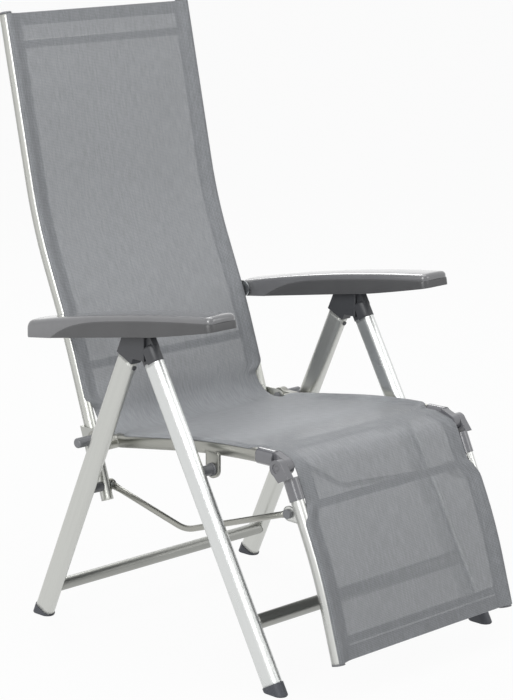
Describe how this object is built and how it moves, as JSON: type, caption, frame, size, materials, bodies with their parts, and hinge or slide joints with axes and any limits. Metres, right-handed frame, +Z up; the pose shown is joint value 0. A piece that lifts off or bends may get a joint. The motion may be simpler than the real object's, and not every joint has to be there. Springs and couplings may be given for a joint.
{
  "type": "reclining garden armchair",
  "caption": "High-backed reclining garden armchair with a folding-leg frame of silver oval tubes, grey mesh sling, linked footrest and grey plastic armrests.",
  "frame": {"origin": "on the floor, under the middle of the chair's bounding box", "axes": "+Z up, the sitter faces -Y, X across the chair"},
  "size_m": [0.65, 0.9314, 1.1914],
  "materials": {
    "silver_tube": "satin anodised aluminium tube",
    "silver_rail": "satin anodised aluminium profile",
    "silver_bracket": "satin plate",
    "dark_plastic": "matt dark grey moulding",
    "smoked_gloss": "glossy dark grey moulding",
    "armrest_plastic": "satin mid-grey moulding",
    "steel": "zinc-plated bolt",
    "sling_mesh": "woven coated mesh"
  },
  "bodies": {
    "front_frame": {"front_leg_left": "silver_tube", "front_leg_right": "silver_tube", "front_crossbar": "silver_tube", "front_foot_left": "dark_plastic", "front_foot_right": "dark_plastic", "front_hub_tongue_left": "dark_plastic", "front_hub_tongue_right": "dark_plastic", "seat_bush_left": "dark_plastic", "seat_bush_right": "dark_plastic"},
    "rear_frame": {"rear_leg_left": "silver_tube", "rear_leg_right": "silver_tube", "rear_crossbar": "silver_tube", "rear_foot_left": "dark_plastic", "rear_foot_right": "dark_plastic", "rear_hub_fork_left": "dark_plastic", "rear_hub_fork_right": "dark_plastic", "back_spacer_left": "dark_plastic", "back_spacer_right": "dark_plastic"},
    "seat": {"seat_rail_left": "silver_rail", "seat_rail_right": "silver_rail", "seat_front_crossbar": "silver_rail", "seat_rear_crossbar": "silver_rail", "upper_knee_left": "smoked_gloss", "upper_knee_right": "smoked_gloss", "seat_sling": "sling_mesh"},
    "back": {"back_rail_left": "silver_rail", "back_rail_right": "silver_rail", "back_top_crossbar": "silver_rail", "back_low_crossbar": "silver_rail", "back_bracket_left": "silver_bracket", "back_bracket_right": "silver_bracket", "stop_knob_left": "dark_plastic", "stop_knob_right": "dark_plastic", "lower_bolt_left": "dark_plastic", "lower_bolt_right": "dark_plastic", "back_top_plug_left": "dark_plastic", "back_top_plug_right": "dark_plastic", "armrest_bolt_left": "steel", "armrest_bolt_right": "steel", "back_sling": "sling_mesh"},
    "armrest_bushes": {"armrest_bush_left": "steel", "armrest_bush_right": "steel"},
    "left_armrest": {"armrest_top_left": "armrest_plastic", "armrest_skirt_left": "armrest_plastic"},
    "right_armrest": {"armrest_top_right": "armrest_plastic", "armrest_skirt_right": "armrest_plastic"},
    "footrest": {"footrest_rail_left": "silver_rail", "footrest_rail_right": "silver_rail", "footrest_upper_crossbar": "silver_rail", "footrest_lower_crossbar": "silver_rail", "lower_knee_left": "smoked_gloss", "lower_knee_right": "smoked_gloss", "tab_bolt_left": "dark_plastic", "tab_bolt_right": "dark_plastic", "footrest_plug_left": "dark_plastic", "footrest_plug_right": "dark_plastic", "footrest_sling": "sling_mesh"},
    "link_rods": {"link_rod_left": "silver_rail", "link_rod_right": "silver_rail"}
  },
  "joints": [
    {"name": "recline", "type": "hinge", "parent": "seat", "child": "back", "pos_m": [0, 0.175, 0.38], "axis": [-1, 0, 0], "range_deg": [0, 35]},
    {"name": "seat_tilt", "type": "hinge", "parent": "front_frame", "child": "seat", "pos_m": [0, -0.1356, 0.376], "axis": [-1, 0, 0], "range_deg": [0, 9.2]},
    {"name": "leg_fold", "type": "hinge", "parent": "front_frame", "child": "rear_frame", "pos_m": [0, 0.012, 0.638], "axis": [-1, 0, 0], "range_deg": [0, 11.6]},
    {"name": "knee", "type": "hinge", "parent": "seat", "child": "footrest", "pos_m": [0, -0.312, 0.4126], "axis": [-1, 0, 0], "range_deg": [0, 39.8]},
    {"name": "rod_swing", "type": "hinge", "parent": "back", "child": "link_rods", "pos_m": [0, 0.1773, 0.281], "axis": [-1, 0, 0], "range_deg": [-34.6, 0]},
    {"name": "armrest_swing", "type": "hinge", "parent": "back", "child": "armrest_bushes", "pos_m": [0, 0.28, 0.594], "axis": [-1, 0, 0], "range_deg": [-22.6, 0]},
    {"name": "left_armrest_lift", "type": "hinge", "parent": "armrest_bushes", "child": "left_armrest", "pos_m": [0, 0.28, 0.594], "axis": [-1, 0, 0], "range_deg": [0, 30]},
    {"name": "right_armrest_lift", "type": "hinge", "parent": "armrest_bushes", "child": "right_armrest", "pos_m": [0, 0.28, 0.594], "axis": [-1, 0, 0], "range_deg": [0, 30]}
  ],
  "couplings": [
    {"joint": "seat_tilt", "follows": "recline", "ratio": 0.2557},
    {"joint": "leg_fold", "follows": "recline", "ratio": 0.3265},
    {"joint": "knee", "follows": "recline", "ratio": 1.1278},
    {"joint": "rod_swing", "follows": "recline", "ratio": -0.9806},
    {"joint": "armrest_swing", "follows": "recline", "ratio": -0.64}
  ]
}
